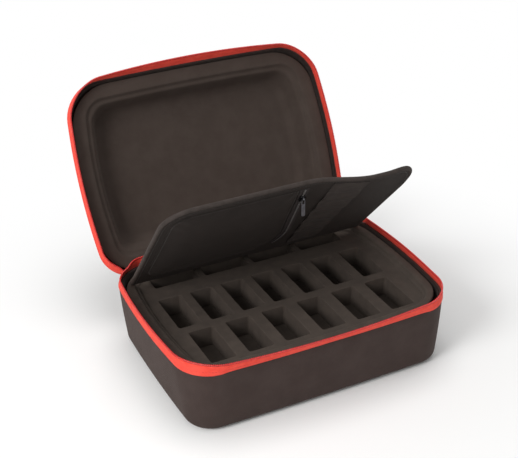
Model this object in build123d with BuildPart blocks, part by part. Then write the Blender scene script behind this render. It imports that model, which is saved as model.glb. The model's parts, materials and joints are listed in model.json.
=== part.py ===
from build123d import *
from math import cos, radians, sin, tan
import os

# Soft-sided sewing accessory case: two moulded shells closed by a zip, a foam tray with pockets,
# a moulded lid lining, and a padded flap with a zip pocket and elastic tool loops.
# The row frame has +Z up, the hinge on the +Y side, and its origin at the centre of the foot.
# The case is modelled open: lid, hinge strip and flap are drawn in planes turned to their open angles.

os.makedirs("parts", exist_ok=True)

# Plan outline of the zip line
case_length = 320.0
case_width = 234.0
side_bow = 8.5
front_bow = 5.5
rim_corner = 40.0

# Base shell
base_height = 81.0
base_taper = 5.7
foot_corner = 28.0
foot_edge = 10.0
foot_bow = 0.3
shell_wall = 4.0

# Lid shell
lid_height = 40.0
lid_taper = 15.0
lid_corner = 34.0
lid_edge = 11.0
lid_bow = 0.8

# Open angles, counted from the closed case
strip_angle = 145.0
lid_angle = 118.0
flap_angle = 50.5

# Zip
tape_height = 9.2
tape_thickness = 1.2
tape_lean = 4.0
coil_radius = 1.25
coil_gap = 0.15
binding_thickness = 1.2
binding_height = 8.0
strip_half_length = 100.0
strip_thickness = 1.2
slider_length = 13.0
slider_height = 10.0
slider_plate = 1.5
slider_nose = 3.0
slider_slack = 0.25

# Foam tray
tray_gap = 2.5
lip_drop = 1.0
lip_width = 13.0
lip_round = 2.5
step_depth = 7.0
tray_corner = 52.0
recess_corner = 24.0
pocket_depth = 25.0
pocket_wall = 12.0
pocket_corner = 2.5
front_pocket_width = 29.0
front_pocket_pitch = 44.3
front_pockets = 6
middle_pocket_width = 27.0
middle_pocket_pitch = 39.0
middle_pockets = 7
rear_pocket_width = 56.0
rear_pocket_length = 19.0
rear_row_gap = 25.5
rear_pocket_pitch = 63.5
rear_pockets = 4
front_margin = 7.1
back_margin = 4.6

# Lid lining
lining_drop = 2.5
lining_step = 4.0
lining_ledge = 5.0
lining_floor = 5.0

# Flap
flap_thickness = 5.0
flap_half_width = 151.0
flap_reach = 193.0
flap_corner = 34.0
flap_setback = 37.0
flap_strip_half_width = 124.0
flap_strip_thickness = 1.5
rolled_edge = 4.0
panel_thickness = 4.0
panel_edge = 18.0
panel_corner = 20.0
panel_turn = 40.0
panel_seam = 6.5
flap_zip_x = 13.4
flap_zip_shift = 16.6
flap_zip_margin = 14.0
flap_zip_bend = 62.0
flap_zip_sweep = 45.0
flap_tape_width = 11.0
flap_tape_thickness = 0.7
flap_coil_width = 3.4
flap_coil_height = 1.5
flap_slider_length = 11.0
flap_slider_width = 7.0
flap_slider_plate = 1.0
flap_slider_margin = 35.0

# Pulls and the bails that hold them
pull_length = 20.0
pull_width = 6.0
flap_pull_width = 4.6
pull_thickness = 1.2
pull_window = 4.0
bar_radius = 0.6
bail_radius = 2.4
bail_wire = 0.9
bail_width = 2.0

# Elastic band
band_x = 66.0
band_width = 40.0
band_thickness = 1.1
band_start = 16.0
loop_pitch = 29.0
loop_rise = 4.6
loop_count = 5

# Clearances
running_gap = 0.3
seat_gap = 0.2
pin_gap = 0.08


def turned(y, z, angle):
    """Plane through (0, y, z) whose normal has swung back from +Z by the angle."""
    swing = radians(angle)
    return Plane(origin=(0, y, z), x_dir=(1, 0, 0), z_dir=(0, sin(swing), cos(swing)))


def outline(plane, inset=0.0, corner=rim_corner, bow=1.0, lean=0.0):
    """Face of the plan outline: three bowed sides, a straight back and round corners."""
    x = case_length / 2 - inset
    y = case_width / 2 - inset
    with BuildSketch(plane) as face:
        with BuildLine():
            ThreePointArc((-x, -y), (0, -y - front_bow * bow - lean), (x, -y))
            ThreePointArc((x, -y), (x + side_bow * bow + lean, 0), (x, y))
            Line((x, y), (-x, y))
            ThreePointArc((-x, y), (-x - side_bow * bow - lean, 0), (-x, -y))
        make_face()
        fillet(face.vertices(), corner)
    return face.sketch


def base_outline(height, inset=0.0, corner=None):
    """Outline of the tapered base at a height, moved in from its outer face."""
    share = height / base_height
    own_corner = foot_corner + (rim_corner - foot_corner) * share - inset
    bow = foot_bow + (1 - foot_bow) * share
    return outline(Plane.XY.offset(height), base_taper * (1 - share) + inset, corner or own_corner, bow)


def lid_outline(depth, inset=0.0, corner=None):
    """Outline of the tapered lid at a depth above its rim, moved in from its outer face."""
    share = depth / lid_height
    own_corner = rim_corner + (lid_corner - rim_corner) * share - inset
    bow = 1 + (lid_bow - 1) * share
    return outline(lid_rim.offset(depth), lid_taper * share + inset, corner or own_corner, bow)


# Planes of the open case
back_y = case_width / 2
band_height = tape_height + 2 * coil_radius + 0.3
strip_width = 2 * band_height
base_rim = Plane.XY.offset(base_height)
strip_frame = turned(back_y, base_height, strip_angle)
lid_edge_frame = turned(
    back_y + strip_width * sin(radians(strip_angle)),
    base_height + strip_width * cos(radians(strip_angle)),
    lid_angle,
)
lid_rim = lid_edge_frame.shift_origin(lid_edge_frame.from_local_coords((0, -back_y, 0)))
tape_end = strip_half_length + slider_nose + 1.0
lid_tape_end = tape_end + slider_length + 2.0

# Levels inside the base
floor_top = shell_wall
lip_top = base_height - lip_drop
pocket_plane = lip_top - step_depth
pocket_floor = pocket_plane - pocket_depth

with BuildPart() as base_shell:
    loft(sections=[base_outline(0), base_outline(base_height)], ruled=True)
    fillet(base_shell.edges().group_by(Axis.Z)[0], foot_edge)
    loft(
        sections=[base_outline(floor_top, shell_wall), base_outline(base_height, shell_wall)],
        ruled=True,
        mode=Mode.SUBTRACT,
    )
base_shell.part.label = "base_shell"
export_step(base_shell.part, "parts/base_shell.step")

binding_out = shell_wall + seat_gap
binding_in = binding_out + binding_thickness
binding_low = base_height - binding_height

with BuildPart() as base_binding:
    loft(
        sections=[base_outline(binding_low, binding_out), base_outline(base_height, binding_out)],
        ruled=True,
    )
    loft(
        sections=[base_outline(binding_low, binding_in), base_outline(base_height, binding_in)],
        ruled=True,
        mode=Mode.SUBTRACT,
    )
base_binding.part.label = "base_binding"
export_step(base_binding.part, "parts/base_binding.step")


def tape_face(rim, height, inset):
    """Outline of the zip tape at a height from its shell; the tape leans out along its sides."""
    return outline(rim.offset(height), inset, rim_corner - inset, 1.0, tape_lean * abs(height) / tape_height)


with BuildPart() as base_zip_tape:
    loft(sections=[tape_face(base_rim, 0, 0), tape_face(base_rim, tape_height, 0)], ruled=True)
    loft(
        sections=[tape_face(base_rim, 0, tape_thickness), tape_face(base_rim, tape_height, tape_thickness)],
        ruled=True,
        mode=Mode.SUBTRACT,
    )
    with Locations((0, back_y, base_height + tape_height / 2)):
        Box(2 * tape_end, 30, 2 * tape_height, mode=Mode.SUBTRACT)
base_zip_tape.part.label = "base_zip_tape"
export_step(base_zip_tape.part, "parts/base_zip_tape.step")

coil_height = tape_height + coil_radius + coil_gap
coil_inset = tape_thickness / 2


def coil_path(rim, height):
    """Centre line of one coil, a closed outline in its own plane."""
    return outline(rim.offset(height), coil_inset, rim_corner - coil_inset, 1.0, tape_lean).wire()


def coil_section(path):
    """Plane across the coil at the start of its centre line."""
    return Plane(origin=path @ 0, z_dir=path % 0)


with BuildPart() as base_zip_coil:
    base_coil_path = coil_path(base_rim, coil_height)
    with BuildSketch(coil_section(base_coil_path)):
        Circle(coil_radius)
    sweep(path=base_coil_path)
    with Locations((0, back_y, base_height + coil_height)):
        Box(2 * tape_end, 30, 4 * coil_radius, mode=Mode.SUBTRACT)
base_zip_coil.part.label = "base_zip_coil"
export_step(base_zip_coil.part, "parts/base_zip_coil.step")

# The lid leans back over the strip, so the strip's far end keeps clear of the lid's rim
strip_end_gap = strip_thickness * tan(radians(strip_angle - lid_angle)) + running_gap

with BuildPart() as hinge_strip:
    with BuildSketch(strip_frame.offset(running_gap)):
        with Locations((0, -strip_thickness / 2)):
            Rectangle(2 * strip_half_length, strip_thickness)
    extrude(amount=strip_width - running_gap - strip_end_gap)
hinge_strip.part.label = "hinge_strip"
export_step(hinge_strip.part, "parts/hinge_strip.step")

with BuildPart() as lid_shell:
    loft(sections=[lid_outline(0), lid_outline(lid_height)], ruled=True)
    top_face = lid_shell.faces().sort_by(Axis(lid_rim.origin, lid_rim.z_dir))[-1]
    fillet(top_face.edges(), lid_edge)
    loft(
        sections=[lid_outline(0, shell_wall), lid_outline(lid_height - shell_wall, shell_wall)],
        ruled=True,
        mode=Mode.SUBTRACT,
    )
lid_shell.part.label = "lid_shell"
export_step(lid_shell.part, "parts/lid_shell.step")

with BuildPart() as lid_binding:
    loft(sections=[lid_outline(0, binding_out), lid_outline(binding_height, binding_out)], ruled=True)
    loft(
        sections=[lid_outline(0, binding_in), lid_outline(binding_height, binding_in)],
        ruled=True,
        mode=Mode.SUBTRACT,
    )
lid_binding.part.label = "lid_binding"
export_step(lid_binding.part, "parts/lid_binding.step")

with BuildPart() as lid_zip_tape:
    loft(sections=[tape_face(lid_rim, 0, 0), tape_face(lid_rim, -tape_height, 0)], ruled=True)
    loft(
        sections=[tape_face(lid_rim, 0, tape_thickness), tape_face(lid_rim, -tape_height, tape_thickness)],
        ruled=True,
        mode=Mode.SUBTRACT,
    )
    with BuildSketch(lid_edge_frame.offset(-2 * tape_height)):
        Rectangle(2 * lid_tape_end, 30)
    extrude(amount=2 * tape_height + 5, mode=Mode.SUBTRACT)
lid_zip_tape.part.label = "lid_zip_tape"
export_step(lid_zip_tape.part, "parts/lid_zip_tape.step")

with BuildPart() as lid_zip_coil:
    lid_coil_path = coil_path(lid_rim, -coil_height)
    with BuildSketch(coil_section(lid_coil_path)):
        Circle(coil_radius)
    sweep(path=lid_coil_path)
    with BuildSketch(lid_edge_frame.offset(-coil_height - 2 * coil_radius)):
        Rectangle(2 * lid_tape_end, 30)
    extrude(amount=4 * coil_radius, mode=Mode.SUBTRACT)
lid_zip_coil.part.label = "lid_zip_coil"
export_step(lid_zip_coil.part, "parts/lid_zip_coil.step")

lining_side = binding_in + tray_gap
lining_top = lid_height - shell_wall - running_gap
lining_bed = lining_top - lining_floor
ledge_inset = lining_side + lip_width
ledge_depth = lining_drop + lining_step
wall_inset = ledge_inset + lining_ledge

with BuildPart() as lid_lining:
    lip_face = lid_outline(lining_drop, lining_side, tray_corner)
    roof_face = lid_outline(lining_top, lining_side, lid_corner)
    loft(sections=[lip_face, roof_face], ruled=True)
    ledge_top = lid_outline(lining_drop, ledge_inset, recess_corner + lining_ledge)
    ledge_low = lid_outline(ledge_depth, ledge_inset, recess_corner + lining_ledge)
    loft(sections=[ledge_top, ledge_low], ruled=True, mode=Mode.SUBTRACT)
    wall_top = lid_outline(ledge_depth, wall_inset, recess_corner + lining_ledge)
    wall_low = lid_outline(lining_bed, wall_inset, recess_corner)
    loft(sections=[wall_top, wall_low], ruled=True, mode=Mode.SUBTRACT)
lid_lining.part.label = "lid_lining"
export_step(lid_lining.part, "parts/lid_lining.step")

tray_inset = binding_in + tray_gap
recess_inset = tray_inset + lip_width


def recess_face(level, gap=0.0):
    """Plan of the tray's recess at a level."""
    return outline(Plane.XY.offset(level), recess_inset + gap, recess_corner - gap)


with BuildPart() as insert_bed:
    bed_low = base_outline(floor_top + seat_gap, tray_inset)
    bed_top = base_outline(pocket_floor, tray_inset, tray_corner - 10)
    loft(sections=[bed_low, bed_top], ruled=True)
insert_bed.part.label = "insert_bed"
export_step(insert_bed.part, "parts/insert_bed.step")

with BuildPart() as insert_frame:
    frame_low = base_outline(pocket_floor, tray_inset, tray_corner - 10)
    frame_top = base_outline(lip_top, tray_inset, tray_corner)
    loft(sections=[frame_low, frame_top], ruled=True)
    extrude(to_extrude=recess_face(pocket_floor), amount=step_depth + pocket_depth, mode=Mode.SUBTRACT)
    lip_face = insert_frame.faces().sort_by(Axis.Z)[-1]
    fillet(lip_face.inner_wires()[0].edges(), lip_round)
insert_frame.part.label = "insert_frame"
export_step(insert_frame.part, "parts/insert_frame.step")

# Pocket rows, from the front of the tray to its back: the two long rows share what depth is left
recess_depth = case_width - 2 * recess_inset
rear_row_depth = rear_row_gap + rear_pocket_length + back_margin
pocket_length = (recess_depth - front_margin - pocket_wall - rear_row_depth) / 2
front_row_low = -case_width / 2
front_row_high = -back_y + recess_inset + front_margin + pocket_length + pocket_wall / 2
middle_row_high = front_row_high + pocket_length + pocket_wall
rear_row_high = case_width / 2


def row_face(low, high):
    """Part of the recess outline that lies between two lines across the tray."""
    with BuildSketch(Plane.XY.offset(pocket_floor)) as face:
        add(outline(Plane.XY, recess_inset + seat_gap, recess_corner - seat_gap))
        with Locations((0, (low + high) / 2)):
            Rectangle(2 * case_length, high - low, mode=Mode.INTERSECT)
    return face.sketch


def pocket_faces(y, count, pitch, width, length):
    """A line of pocket mouths with round corners, centred across the tray."""
    with BuildSketch(Plane.XY.offset(pocket_floor)) as faces:
        with Locations((0, y)):
            with GridLocations(pitch, length, count, 1):
                RectangleRounded(width, length, pocket_corner)
    return faces.sketch


front_row_y = front_row_high - (pocket_wall + pocket_length) / 2
middle_row_y = front_row_high + (pocket_wall + pocket_length) / 2
rear_row_y = middle_row_y + (pocket_length + rear_pocket_length) / 2 + rear_row_gap

with BuildPart() as front_pocket_row:
    extrude(to_extrude=row_face(front_row_low, front_row_high), amount=pocket_depth)
    pockets = pocket_faces(front_row_y, front_pockets, front_pocket_pitch, front_pocket_width, pocket_length)
    extrude(to_extrude=pockets, amount=pocket_depth, mode=Mode.SUBTRACT)
front_pocket_row.part.label = "front_pocket_row"
export_step(front_pocket_row.part, "parts/front_pocket_row.step")

with BuildPart() as middle_pocket_row:
    extrude(to_extrude=row_face(front_row_high, middle_row_high), amount=pocket_depth)
    row = (middle_row_y, middle_pockets, middle_pocket_pitch, middle_pocket_width, pocket_length)
    pockets = pocket_faces(*row)
    extrude(to_extrude=pockets, amount=pocket_depth, mode=Mode.SUBTRACT)
middle_pocket_row.part.label = "middle_pocket_row"
export_step(middle_pocket_row.part, "parts/middle_pocket_row.step")

with BuildPart() as rear_pocket_row:
    extrude(to_extrude=row_face(middle_row_high, rear_row_high), amount=pocket_depth)
    pockets = pocket_faces(rear_row_y, rear_pockets, rear_pocket_pitch, rear_pocket_width, rear_pocket_length)
    extrude(to_extrude=pockets, amount=pocket_depth, mode=Mode.SUBTRACT)
rear_pocket_row.part.label = "rear_pocket_row"
export_step(rear_pocket_row.part, "parts/rear_pocket_row.step")

# Flap: its axis runs along the top of the fabric strip that carries it
flap_hinge_y = back_y - flap_setback
flap_zip_top = flap_reach - flap_zip_margin
flap_slider_reach = flap_reach - flap_slider_margin
strip_bottom = lip_top + running_gap
flap_axis_z = strip_bottom + flap_strip_thickness
flap_frame = turned(flap_hinge_y, flap_axis_z, flap_angle)
board_low = -flap_strip_thickness
board_high = board_low + flap_thickness
strip_back = back_y - binding_in - seat_gap

with BuildPart() as flap_hinge_strip:
    strip_front = flap_hinge_y + running_gap
    with BuildSketch(Plane.XY.offset(strip_bottom)):
        with Locations((0, (strip_front + strip_back) / 2)):
            Rectangle(2 * flap_strip_half_width, strip_back - strip_front)
    extrude(amount=flap_strip_thickness)
flap_hinge_strip.part.label = "flap_hinge_strip"
export_step(flap_hinge_strip.part, "parts/flap_hinge_strip.step")


def flap_face(level, inset):
    """Plan of the flap in its own plane, round at the two free corners."""
    with BuildSketch(flap_frame.offset(level)) as face:
        with Locations((0, -(flap_reach - inset) / 2 - running_gap)):
            Rectangle(2 * (flap_half_width - inset), flap_reach - inset)
        free = face.vertices().group_by(Axis.Y)[0]
        fillet(free, flap_corner - inset)
    return face.sketch


with BuildPart() as flap_board:
    extrude(to_extrude=flap_face(board_low + 0.5, rolled_edge), amount=flap_thickness - 1)
flap_board.part.label = "flap_board"
export_step(flap_board.part, "parts/flap_board.step")

with BuildPart() as flap_binding:
    extrude(to_extrude=flap_face(board_low, 0), amount=flap_thickness)
    fillet(flap_binding.edges().filter_by(lambda e: e.length > 30), 2.2)
    extrude(
        to_extrude=flap_face(board_low - 1, rolled_edge - 0.02),
        amount=flap_thickness + 2,
        mode=Mode.SUBTRACT,
    )
flap_binding.part.label = "flap_binding"
export_step(flap_binding.part, "parts/flap_binding.step")

# Flap zip: straight and slanted from the free edge, then round the pocket's corner
zip_run = flap_zip_top - flap_zip_bend
zip_length = (zip_run**2 + flap_zip_shift**2) ** 0.5
zip_ahead = (flap_zip_shift / zip_length, zip_run / zip_length)
turn_centre = (
    flap_zip_x + flap_zip_shift - (panel_turn + panel_seam) * zip_ahead[1],
    -flap_zip_bend + (panel_turn + panel_seam) * zip_ahead[0],
)
under = board_low + 0.5
panel_left = -flap_half_width + panel_edge
panel_far = -flap_reach + panel_edge
panel_near = turn_centre[1] + panel_turn


def seam_x(y):
    """Where the panel's slanted edge lies at a distance along the flap."""
    return flap_zip_x + (y + flap_zip_top) * flap_zip_shift / zip_run - panel_seam / zip_ahead[1]


with BuildPart() as flap_pocket_panel:
    with BuildSketch(flap_frame.offset(under)) as panel:
        with BuildLine():
            Polyline(
                (panel_left, panel_far),
                (seam_x(panel_far), panel_far),
                (seam_x(panel_near), panel_near),
                (panel_left, panel_near),
                close=True,
            )
        make_face()
        turn_point = flap_frame.from_local_coords((seam_x(panel_near), panel_near, under))
        fillet(panel.vertices().sort_by_distance(turn_point)[0], panel_turn)
        fillet(panel.vertices().filter_by(lambda v: abs(v.X - panel_left) < 0.01), panel_corner)
    extrude(amount=-panel_thickness, taper=35)
    low_face = flap_pocket_panel.faces().sort_by(Axis(flap_frame.origin, flap_frame.z_dir))[0]
    fillet(low_face.edges(), 2.0)
flap_pocket_panel.part.label = "flap_pocket_panel"
export_step(flap_pocket_panel.part, "parts/flap_pocket_panel.step")


def zip_ribbon(level, width):
    """Face of a ribbon of even width along the flap zip."""
    with BuildSketch(flap_frame.offset(level)) as ribbon:
        with BuildLine():
            bend = (flap_zip_x + flap_zip_shift, -flap_zip_bend)
            Line((flap_zip_x, -flap_zip_top), bend)
            JernArc(bend, zip_ahead, panel_turn + panel_seam, flap_zip_sweep)
        trace(line_width=width)
    return ribbon.sketch


with BuildPart() as flap_zip_tape:
    extrude(to_extrude=zip_ribbon(under, flap_tape_width), amount=-flap_tape_thickness)
flap_zip_tape.part.label = "flap_zip_tape"
export_step(flap_zip_tape.part, "parts/flap_zip_tape.step")

flap_coil_top = under - flap_tape_thickness

with BuildPart() as flap_zip_coil:
    extrude(to_extrude=zip_ribbon(flap_coil_top, flap_coil_width), amount=-flap_coil_height)
    coil_face = flap_zip_coil.faces().sort_by(Axis(flap_frame.origin, flap_frame.z_dir))[0]
    fillet(coil_face.edges(), 0.6)
flap_zip_coil.part.label = "flap_zip_coil"
export_step(flap_zip_coil.part, "parts/flap_zip_coil.step")


def pull_solid(plane, width):
    """Zip pull: a round bar on the plane's X axis, two arms and a tab that hangs along -Y."""
    with BuildPart(plane) as pull:
        with BuildSketch(plane):
            with Locations((0, -pull_length / 2)):
                RectangleRounded(width, pull_length, 1.4)
            with Locations((0, -pull_window / 2)):
                Rectangle(bail_width + 0.8, pull_window + 2, mode=Mode.SUBTRACT)
        extrude(amount=pull_thickness / 2, both=True)
        with BuildSketch(Plane(plane.origin, z_dir=plane.x_dir)):
            Circle(bar_radius)
        extrude(amount=width / 2 - 0.3, both=True)
    return pull.part


def bail_face(frame):
    """Half ring of wire across a slider plate; the frame's Z axis points away from the plate."""
    with BuildSketch(Plane(frame.origin, x_dir=frame.y_dir, z_dir=frame.x_dir)) as face:
        Circle(bail_radius)
        Circle(bail_radius - bail_wire, mode=Mode.SUBTRACT)
        with Locations((0, -bail_radius / 2 - 0.1)):
            Rectangle(3 * bail_radius, bail_radius, mode=Mode.SUBTRACT)
    return face.sketch


def slider_outline(plane, length, width):
    """Plan of a slider plate, drawn in towards its tail."""
    with BuildSketch(plane) as face:
        with BuildLine():
            Polyline(
                (-width / 2, length / 2),
                (width / 2, length / 2),
                (width / 2, 0),
                (width / 3, -length / 2),
                (-width / 3, -length / 2),
                (-width / 2, 0),
                close=True,
            )
        make_face()
        fillet(face.vertices(), width / 8)
    return face.sketch


# Flap slider: a channel over the coil, with its bail on the plate
slider_level = flap_coil_top - seat_gap
plate_level = flap_coil_top - flap_coil_height - seat_gap
slider_shift = (flap_zip_top - flap_slider_reach) * flap_zip_shift / zip_run
slider_point = flap_frame.from_local_coords((flap_zip_x + slider_shift, -flap_slider_reach, 0))
slider_ahead = zip_ahead[0] * flap_frame.x_dir + zip_ahead[1] * flap_frame.y_dir
slider_frame = Plane(slider_point, x_dir=slider_ahead.cross(flap_frame.z_dir), z_dir=flap_frame.z_dir)
plate_top = plate_level - flap_slider_plate
bail_point = slider_frame.from_local_coords((0, 0, plate_top))
bail_frame = Plane(bail_point, x_dir=flap_frame.x_dir, z_dir=-flap_frame.z_dir)
bar_rise = (bail_radius - bail_wire) / 2

with BuildPart() as flap_slider:
    extrude(
        to_extrude=slider_outline(slider_frame.offset(slider_level), flap_slider_length, flap_slider_width),
        amount=plate_top - slider_level,
    )
    with BuildSketch(slider_frame.offset(slider_level)):
        Rectangle(flap_coil_width + 2 * slider_slack, 2 * flap_slider_length)
    extrude(amount=plate_level - slider_level, mode=Mode.SUBTRACT)
    extrude(to_extrude=bail_face(bail_frame), amount=bail_width / 2, both=True)
flap_slider.part.label = "flap_slider"
export_step(flap_slider.part, "parts/flap_slider.step")

flap_bar = bail_frame.from_local_coords((0, 0, bar_rise))

with BuildPart() as flap_pull:
    add(pull_solid(Plane(flap_bar, x_dir=(1, 0, 0), z_dir=(0, -1, 0)), flap_pull_width))
flap_pull.part.label = "flap_pull"
export_step(flap_pull.part, "parts/flap_pull.step")

# Elastic band: sewn down between loops that stand off the flap
band_side = flap_frame.from_local_coords((band_x, 0, 0))
band_plane = Plane(band_side, x_dir=flap_frame.y_dir, z_dir=flap_frame.x_dir)
loop_span = loop_pitch - 4.0
band_outer = under - band_thickness

with BuildPart() as elastic_band:
    with BuildSketch(band_plane):
        with Locations((-band_start - loop_count * loop_pitch / 2, under - band_thickness / 2)):
            Rectangle(loop_count * loop_pitch + 6, band_thickness)
        for loop in range(loop_count):
            middle = -band_start - (loop + 0.5) * loop_pitch
            with BuildLine():
                low = (middle - loop_span / 2, under)
                high = (middle + loop_span / 2, under)
                ThreePointArc(low, (middle, band_outer - loop_rise), high)
                Line(high, low)
            make_face()
            with BuildLine():
                low = (middle - loop_span / 2 + 1.6, under)
                high = (middle + loop_span / 2 - 1.6, under)
                ThreePointArc(low, (middle, under - loop_rise), high)
                Line(high, low)
            make_face(mode=Mode.SUBTRACT)
    extrude(amount=band_width / 2, both=True)
elastic_band.part.label = "elastic_band"
export_step(elastic_band.part, "parts/elastic_band.step")

# Main sliders, parked on the ends of the base coil behind the back corners
slider_x = strip_half_length + 0.5 + slider_length / 2
coil_y = back_y - coil_inset
coil_z = base_height + coil_height
slider_half_gap = coil_radius + slider_slack
outer_face_y = coil_y + slider_half_gap + slider_plate
nose_x = slider_x - (slider_length - slider_nose) / 2


def main_slider(side):
    """Slider body on one side: two plates joined by a nose past the end of the coil, and a bail."""
    with BuildPart() as body:
        with Locations((side * slider_x, coil_y, coil_z)):
            Box(slider_length, 2 * (slider_half_gap + slider_plate), slider_height)
            Box(slider_length, 2 * slider_half_gap, slider_height, mode=Mode.SUBTRACT)
        with Locations((side * nose_x, coil_y, coil_z)):
            Box(slider_nose, 2 * slider_half_gap + 0.02, slider_height)
        fillet(body.edges().filter_by(Axis.Y), 1.2)
        frame = Plane((side * slider_x, outer_face_y, coil_z), x_dir=(1, 0, 0), z_dir=(0, 1, 0))
        extrude(to_extrude=bail_face(frame), amount=bail_width / 2, both=True)
    return body.part


with BuildPart() as zip_slider_left:
    add(main_slider(-1))
zip_slider_left.part.label = "zip_slider_left"
export_step(zip_slider_left.part, "parts/zip_slider_left.step")

with BuildPart() as zip_slider_right:
    add(main_slider(1))
zip_slider_right.part.label = "zip_slider_right"
export_step(zip_slider_right.part, "parts/zip_slider_right.step")

main_bar_y = outer_face_y + bar_rise

with BuildPart() as zip_pull_left:
    add(pull_solid(Plane((-slider_x, main_bar_y, coil_z), x_dir=(1, 0, 0), z_dir=(0, -1, 0)), pull_width))
zip_pull_left.part.label = "zip_pull_left"
export_step(zip_pull_left.part, "parts/zip_pull_left.step")

with BuildPart() as zip_pull_right:
    add(pull_solid(Plane((slider_x, main_bar_y, coil_z), x_dir=(1, 0, 0), z_dir=(0, -1, 0)), pull_width))
zip_pull_right.part.label = "zip_pull_right"
export_step(zip_pull_right.part, "parts/zip_pull_right.step")
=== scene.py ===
import json
import math
from itertools import accumulate

import bmesh
import bpy
from mathutils import Matrix, Vector


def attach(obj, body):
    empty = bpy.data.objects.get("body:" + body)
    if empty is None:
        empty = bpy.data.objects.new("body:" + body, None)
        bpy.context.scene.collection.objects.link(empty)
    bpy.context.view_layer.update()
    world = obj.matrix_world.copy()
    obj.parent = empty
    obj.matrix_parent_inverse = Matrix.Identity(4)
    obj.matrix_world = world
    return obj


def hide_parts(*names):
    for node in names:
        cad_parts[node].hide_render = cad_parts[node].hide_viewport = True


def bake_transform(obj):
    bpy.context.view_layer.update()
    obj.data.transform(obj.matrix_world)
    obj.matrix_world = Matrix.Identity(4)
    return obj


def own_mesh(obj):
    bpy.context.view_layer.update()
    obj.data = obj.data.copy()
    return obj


# Sewing accessory case: fabric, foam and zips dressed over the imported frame.
# Sizes are in millimetres of the closed case, and placing a point turns them to metres in the open pose.

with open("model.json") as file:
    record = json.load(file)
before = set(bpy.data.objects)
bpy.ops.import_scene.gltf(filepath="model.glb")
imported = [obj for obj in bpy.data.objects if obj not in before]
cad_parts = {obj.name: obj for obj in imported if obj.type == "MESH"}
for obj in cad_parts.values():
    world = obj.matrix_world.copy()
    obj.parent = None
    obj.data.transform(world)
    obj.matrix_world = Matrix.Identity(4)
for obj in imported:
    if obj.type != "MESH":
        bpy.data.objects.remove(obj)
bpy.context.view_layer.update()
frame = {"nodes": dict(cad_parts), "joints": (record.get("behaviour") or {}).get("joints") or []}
mm = 0.001
joints = {joint["name"]: joint for joint in frame["joints"]}
print("frame loaded", len(frame["nodes"]), "nodes")


def ease(share):
    share = min(max(share, 0), 1)
    return share * share * (3 - 2 * share)


# Outline of the zip line, shared by the base, the lid and everything inside them
case = {"halfLength": 160, "halfWidth": 117, "sideBow": 8.5, "frontBow": 5.5}

# Each shell goes from its low section to its high one, and the lid is counted from its rim. Puff swells
# its sides, the shares scale the front's bow and the back corners, and the rim corner is the zip's own
baseShape = {"height": 81, "lowInset": 5.7, "highInset": 0, "lowCorner": 28, "highCorner": 40,
             "lowBow": 0.3, "highBow": 1, "edge": 10, "wall": 4, "lip": 1.2, "puff": 0.5,
             "frontShare": 1, "backShare": 1, "rimCorner": 40}
lidShape = {"height": 40, "lowInset": 0, "highInset": 15, "lowCorner": 42, "highCorner": 35,
            "lowBow": 1, "highBow": 0.8, "edge": 11, "wall": 2.6, "lip": 1.2, "puff": 2.0,
            "frontShare": 0.5, "backShare": 0.78, "rimCorner": 42}

openStrip = joints["strip_hinge"]["range_deg"][1]
openLid = openStrip + joints["lid_hinge"]["range_deg"][0]
openFlap = joints["flap_hinge"]["range_deg"][1]


def swungPlace(jointName, angle, pivotY):
    # a piece drawn closed over the pivot, then swung back by its open angle
    pivot = Vector(joints[jointName]["pos_m"])
    swing = math.radians(angle)
    ahead = Vector((0, math.cos(swing), -math.sin(swing)))
    above = Vector((0, math.sin(swing), math.cos(swing)))

    def place(x, y, level):
        return pivot + Vector((x * mm, 0, 0)) + ahead * ((y - pivotY) * mm) + above * (level * mm)

    return place


def atBase(x, y, level):
    return Vector((x, y, level)) * mm


atLid = swungPlace("lid_hinge", openLid, case["halfWidth"])
atFlapPlane = swungPlace("flap_hinge", openFlap, 0)
atStrip = swungPlace("strip_hinge", openStrip, case["halfWidth"])


# Colour and node helpers

def linearColour(hexCode):
    channels = []
    for start in (0, 2, 4):
        value = int(hexCode[start:start + 2], 16) / 255
        channels.append(value / 12.92 if value <= 0.04045 else ((value + 0.055) / 1.055) ** 2.4)
    return (*channels, 1)


def addNode(tree, kind, settings=None, links=None):
    node = tree.nodes.new(kind)
    for key, value in (settings or {}).items():
        if isinstance(key, int) or key in node.inputs:
            node.inputs[key].default_value = value
        else:
            setattr(node, key, value)
    for key, source in (links or {}).items():
        tree.links.new(source, node.inputs[key])
    return node


def startMaterial(name, settings):
    material = bpy.data.materials.new(name)
    material.use_nodes = True
    tree = material.node_tree
    skin = tree.nodes["Principled BSDF"]
    for key, value in settings.items():
        skin.inputs[key].default_value = value
    return material, tree, skin


def weaveHeight(tree, threadMm, acrossMm=None):
    # over-and-under bumps of a plain weave, read from UVs that are laid out in millimetres
    uv = addNode(tree, "ShaderNodeTexCoord")
    split = addNode(tree, "ShaderNodeSeparateXYZ", links={0: uv.outputs["UV"]})
    waves = []
    for axis, size in (("X", threadMm), ("Y", acrossMm or threadMm)):
        turn = addNode(tree, "ShaderNodeMath", {"operation": "MULTIPLY", 1: math.pi / size},
                       {0: split.outputs[axis]})
        waves.append(addNode(tree, "ShaderNodeMath", {"operation": "SINE"}, {0: turn.outputs[0]}))
    return addNode(tree, "ShaderNodeMath", {"operation": "MULTIPLY"},
                   {0: waves[0].outputs[0], 1: waves[1].outputs[0]}).outputs[0]


def mottle(tree, sizeMm, detail=4):
    # soft patches of the given real size, from the piece's own coordinates in metres
    place = addNode(tree, "ShaderNodeTexCoord")
    settings = {"Scale": 1000 / sizeMm, "Detail": detail, "Roughness": 0.6}
    noise = addNode(tree, "ShaderNodeTexNoise", settings, {"Vector": place.outputs["Object"]})
    return noise.outputs["Fac"]


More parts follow.
